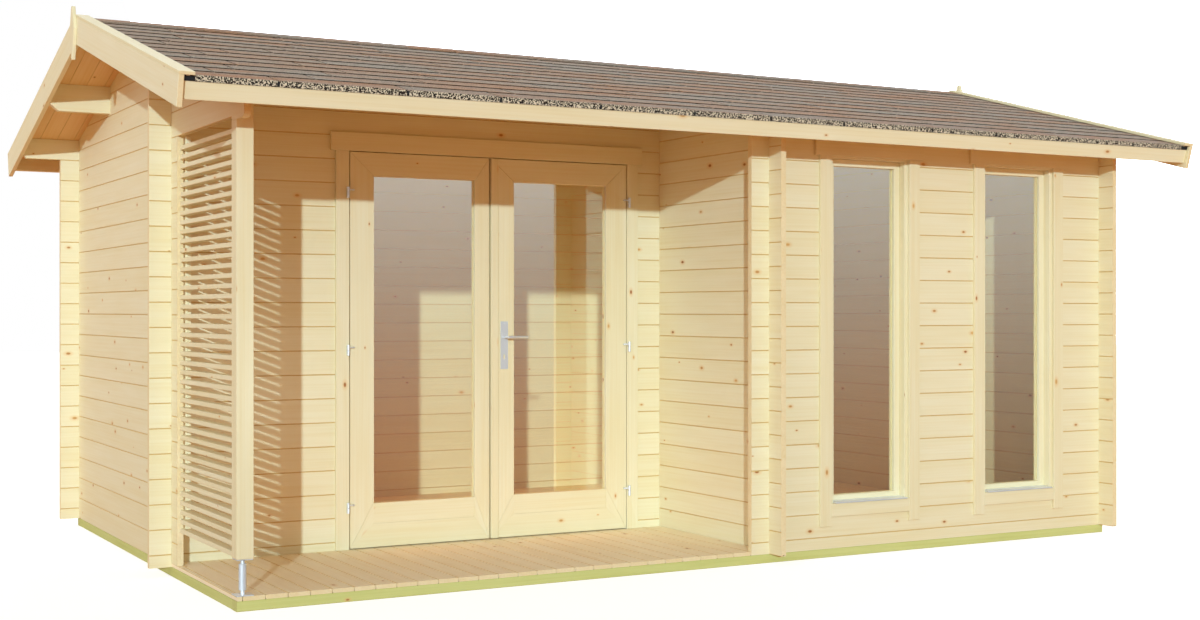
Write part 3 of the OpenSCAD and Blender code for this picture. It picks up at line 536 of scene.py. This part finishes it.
# Deck, floor and roof boards; the deck starts with a narrow board at the left, and its last takes up the rest
deck_low, deck_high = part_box("terrace_deck")
deck_count = round((deck_high[0] - deck_low[0] - DECK_FIRST) / DECK_BOARD)
deck_joints = [deck_low[0] + DECK_FIRST + DECK_BOARD * i for i in range(deck_count)]
deck_joints = [deck_low[0]] + deck_joints + [deck_high[0]]
# The deck's paler wood is painted light
boards("terrace_deck_boards", "terrace_deck", deck_joints, DECK_GAP, SOFT_ARRIS, spruce_deck_painted_light)
floor_low, floor_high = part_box("room_floor")
floor_joints = even_joints(floor_low[0], floor_high[0], FLOOR_BOARD)
boards("room_floor_boards", "room_floor", floor_joints, CLOSE_GAP, FLOOR_ARRIS, spruce)
roof_low, roof_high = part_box("front_roof_boards")
roof_joints = even_joints(roof_low[0], roof_high[0], ROOF_BOARD)
for side in ("front", "rear"):
    # The roof boards' honey colour is painted shade
    boards(side + "_roof_boarding", side + "_roof_boards", roof_joints, CLOSE_GAP, ROOF_ARRIS, spruce_roof_painted_shade)

# Louvre screen: slats from the post's batten to the wall, let into a second batten behind the log ends
screen_low, screen_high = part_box("louvre_screen")
screen = bmesh.new()
rise = (screen_high[2] - screen_low[2] - SLAT_H) / SLAT_COUNT
front_batten = screen_low[1] + BATTEN_W
for i in range(SLAT_COUNT):
    z = screen_low[2] + i * rise
    box_into(screen, (screen_low[0], front_batten, z),
             (screen_high[0] - SLAT_IN, screen_high[1], z + SLAT_H), SOFT_ARRIS)
box_into(screen, screen_low, (screen_high[0], front_batten, screen_high[2]), SOFT_ARRIS)
left_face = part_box("left_wall")[0][0]
wall_side = left_face + LOG_T + BATTEN_GAP
box_into(screen, (wall_side, screen_high[1] - BATTEN_W, screen_low[2]), screen_high, SOFT_ARRIS)
lay_grain(screen, "screen")
finish_piece("louvre_slats", screen, "root", [spruce, spruce_end], ["louvre_screen"])


# Roof covering, laid in the plane of a slope: X along the eave, Y down the slope, Z off the boards
ridge_z = roof_high[2] - ROOF_BOARD_T / math.cos(PITCH) + SEAT * math.sin(PITCH)
slope_l = (abs(roof_low[1]) - ROOF_BOARD_T * math.sin(PITCH)) / math.cos(PITCH)
LIE = ROOF_BOARD_T + SEAT           # where the felt lies, just over the boards
RIDGE = Matrix.Translation((0, 0, ridge_z))
DOWN = Matrix.Rotation(-PITCH, 4, "X")
FRONT = RIDGE @ Matrix.Rotation(math.pi, 4, "Z") @ DOWN
REAR = RIDGE @ DOWN


def tab_edges(pick, low, high):
    """Places of the slots between the shingles of a course."""
    edges = [low, low + pick.choice(TAB_WIDTHS) * pick.uniform(TAB_FIRST, 1)]
    while edges[-1] < high - TAB_LAST:
        edges.append(edges[-1] + pick.choice(TAB_WIDTHS))
    edges[-1] = high
    return edges


def shingle_slope(name, node, lay, seed, eave_slots=()):
    """Felt under lapped courses of shingles, the lowest folded down over the ends of the boards."""
    pick = random.Random(seed)
    half = (roof_high[0] - roof_low[0]) / 2
    fold = slope_l + SEAT
    eave = fold + FOLD
    bed = LIE + FELT
    bm = bmesh.new()
    box_into(bm, (-half, FELT_IN, LIE), (half, eave - FELT_SHORT, bed), material=CORE)
    box_into(bm, (-half, fold, FOLD_LIFT), (half, fold + FELT, bed), material=CORE)
    for i in range(math.ceil(eave / COURSE)):
        low = eave - i * COURSE
        top = max(low - COURSE, COURSE_IN)
        edges = tab_edges(pick, -half, half)
        if i == 0 and eave_slots:
            edges = [-half] + sorted(eave_slots) + [half]
        for a, b in zip(edges, edges[1:]):
            verts = box_into(bm, (a + HALF_SLOT, top, bed), (b - HALF_SLOT, low, LIE + SHINGLE_BUTT))
            for v in verts:
                if v.co.y < top + MM and v.co.z > bed + FELT:
                    v.co.z = LIE + SHINGLE_TOP
            for face in {f for v in verts for f in v.link_faces}:
                face.normal_update()
                faces_eave = face.normal.y > 0.9
                if faces_eave:
                    face.material_index = BUTT if i else EAVE
            if i == 0:
                a, b = max(a, FOLD_IN - half), min(b, half - FOLD_IN)
                box_into(bm, (a + HALF_SLOT, fold + FELT, 0), (b - HALF_SLOT, eave, bed), material=EAVE)
    bm.transform(lay)
    finish_piece(name, bm, "root", [shingle_face, bitumen, shingle_edge, shingle_butt], [node])


shingle_slope("front_slope_shingles", "front_shingles", FRONT, 4, [-left_face - x * MM for x in EAVE_SLOTS])
shingle_slope("rear_slope_shingles", "rear_shingles", REAR, 9)

# Ridge: short strips of felt bent over the ridge, edge to edge
cap_low, cap_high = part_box("ridge_cap")
cap_count = round((cap_high[0] - cap_low[0]) / COURSE)
cap_step = (cap_high[0] - cap_low[0]) / cap_count
lift = LIE + SHINGLE_BUTT + SEAT
caps = bmesh.new()
for i in range(cap_count):
    x0 = cap_low[0] + i * cap_step
    for lay, turned in ((FRONT, -1), (REAR, 1)):
        a, b = sorted((turned * x0, turned * (x0 + cap_step - CAP_GAP)))
        verts = box_into(caps, (a, -lift * math.tan(PITCH), lift), (b, CAP_FLAP, lift + SHINGLE_TOP))
        bmesh.ops.transform(caps, matrix=lay, verts=verts)
finish_piece("ridge_strips", caps, "root", [shingle_face], ["ridge_cap"])

# Steel and glass
FINISHES = {
    "post_foot": (zinc, "root"), "frame_hinges": (zinc, "root"), "window_drips": (zinc, "root"),
    "left_leaf_hinges": (zinc, "left_door"), "right_leaf_hinges": (zinc, "right_door"),
    "handle_plates": (steel, "right_door"), "handle_lever": (steel, "lever"),
}
for node, (finish, body) in FINISHES.items():
    bm = solid_copy(node)
    ease_arrises(bm, STEEL_ARRIS, 0)
    piece = finish_piece(node + "_steel", bm, body, [finish], [node])
    for polygon in piece.data.polygons:
        polygon.use_smooth = True
    piece.data.set_sharp_from_angle(angle=SMOOTH)
for node in ("left_leaf_glass", "right_leaf_glass", "window_glass"):
    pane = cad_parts[node]
    pane.data.materials.clear()
    pane.data.materials.append(glass)

# Screws in the handle plates: low heads with a recess
plate_low, plate_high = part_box("handle_plates")
plate_x = (plate_low[0] + plate_high[0]) / 2
screws = bmesh.new()
for y, turn in ((plate_low[1], 90), (plate_high[1], -90)):
    for z in (plate_low[2] + SCREW_IN, plate_high[2] - SCREW_IN):
        place = Matrix.Translation((plate_x, y, z)) @ Matrix.Rotation(math.radians(turn), 4, "X")
        head = bmesh.ops.create_cone(
            screws, cap_ends=True, segments=SCREW_SIDES, radius1=SCREW_R, radius2=SCREW_TOP_R,
            depth=SCREW_H, matrix=place)
        faces = {f for v in head["verts"] for f in v.link_faces}
        crown = max(faces, key=lambda f: abs(f.calc_center_median().y))
        bmesh.ops.inset_region(screws, faces=[crown], thickness=SCREW_RIM, depth=-SCREW_RECESS)
finish_piece("handle_screws", screws, "right_door", [steel])


# Stage, light and camera

GROUND_SIZE = 40
GROUND_DROP = 0.5 * MM              # under the base beams
GLOW = 0.6                          # what lifts the lit paper to white
FILL = 0.42                         # even light from all round
MIRRORED_LOW = 0.14                 # what panes and steel mirror from below the horizon


def seen(tree, path):
    """1 on rays from the eye, straight or by way of a pane or a mirror, and 0 on light on its way."""
    bent = calc(tree, "MAXIMUM", path.outputs["Is Glossy Ray"], path.outputs["Is Transmission Ray"])
    return calc(tree, "MAXIMUM", path.outputs["Is Camera Ray"], bent)


def ground_material():
    """Matt white paper that reads white to the eye and still takes the shadow."""
    material, tree = new_material("white_paper")
    to_eye = seen(tree, add(tree, "LightPath").node)
    glow = add(tree, "Emission", links={
        "Color": linear("#ffffff"), "Strength": calc(tree, "MULTIPLY", to_eye, GLOW)})
    # To the eye it is white; the light it sends up under the eaves is warm, as off sunlit boards
    paper = add(tree, "BsdfDiffuse", links={
        "Color": mix(tree, to_eye, linear("#ecac7a"), linear("#e8e8e8"))})
    add(tree, "OutputMaterial", links={"Surface": add(tree, "AddShader", links={0: paper, 1: glow})})
    return material


ground = bmesh.new()
bmesh.ops.create_grid(ground, x_segments=1, y_segments=1, size=GROUND_SIZE,
                      matrix=Matrix.Translation((0, 0, -GROUND_DROP)))
ground_mesh = bpy.data.meshes.new("floor")
ground.to_mesh(ground_mesh)
ground.free()
ground_mesh.materials.append(ground_material())
floor = bpy.data.objects.new("floor", ground_mesh)
scene.collection.objects.link(floor)
floor.visible_glossy = False

world = bpy.data.worlds.new("studio")
scene.world = world
world.use_nodes = True
world.node_tree.nodes.clear()
air = world.node_tree
path = add(air, "LightPath").node
fill = add(air, "Background", links={"Color": linear("#ffe6cc"), "Strength": FILL})
# Panes and steel mirror a studio that is white overhead and shades off below the horizon
height = add(air, "SeparateXYZ", links={0: add(air, "TexCoord", out="Generated")}, out="Z")
mirrored = calc(air, "POWER", remap(air, height, -0.12, 0.085), 1.6)
mirrored = calc(air, "MULTIPLY_ADD", mirrored, 1 - MIRRORED_LOW, MIRRORED_LOW)
white = add(air, "Mix", {"data_type": "FLOAT"}, {0: path.outputs["Is Glossy Ray"], 2: 1.0, 3: mirrored})
backdrop = add(air, "Background", links={"Color": linear("#ffffff"), "Strength": white})
add(air, "OutputWorld", links={
    "Surface": add(air, "MixShader", links={0: seen(air, path), 1: fill, 2: backdrop})})


def lamp(name, kind, energy, colour, aim, place=(0, 0, 0), hidden=False, **shape):
    """A light that shines along aim."""
    light = bpy.data.lights.new(name, kind)
    light.energy = energy
    light.color = linear(colour)[:3]
    for setting, value in shape.items():
        setattr(light, setting, value)
    holder = bpy.data.objects.new(name, light)
    holder.location = place
    holder.rotation_euler = Vector(aim).to_track_quat("-Z", "Y").to_euler()
    holder.visible_camera = not hidden
    holder.visible_glossy = not hidden
    scene.collection.objects.link(holder)


# A crisp cool key from the front left, and broad soft lights from the left and from behind
lamp("key", "SUN", energy=2.42, colour="#d0f0ff", aim=(0.545, 1.0, -0.209), angle=math.radians(0.9))
lamp("side", "SUN", energy=1.08, colour="#e2f2ff", aim=(0.85, 0.35, -0.2), angle=math.radians(80))
lamp("back", "SUN", energy=2.9, colour="#ebf3ff", aim=(-0.85, -0.9, -0.35), angle=math.radians(60))
# Small ones fill the room, the terrace as its sunlit deck would, and the shadow of the screen
lamp("room", "AREA", energy=11, colour="#ffa868", aim=(0, 0, -1), place=(-0.1, 0.35, 2.06), hidden=True,
     shape="RECTANGLE", size=3.6, size_y=1.0, spread=math.radians(95))
lamp("terrace", "AREA", energy=1.8, colour="#ff7a2c", aim=(0, 0, 1), place=(-1.1, -1.05, 0.08), hidden=True,
     shape="RECTANGLE", size=2.2, size_y=0.8)
lamp("screen", "AREA", energy=0.35, colour="#e2f2ff", aim=(-0.08, 1, 0.05), place=(-1.9, -2.6, 0.8),
     hidden=True, shape="RECTANGLE", size=0.6, size_y=0.6, spread=math.radians(40))

# The eye is level, 1.2 m up, in front of the terrace and to its left
camera = bpy.data.cameras.new("camera")
camera.sensor_fit = "HORIZONTAL"
camera.sensor_width = 36
camera.lens = 48.73
camera.clip_end = 200
view = bpy.data.objects.new("camera", camera)
view.location = (-4.301, -7.852, 1.204)
view.rotation_euler = (math.radians(90), 0, math.radians(-29.34))
scene.collection.objects.link(view)
scene.camera = view
scene.view_settings.view_transform = "Standard"
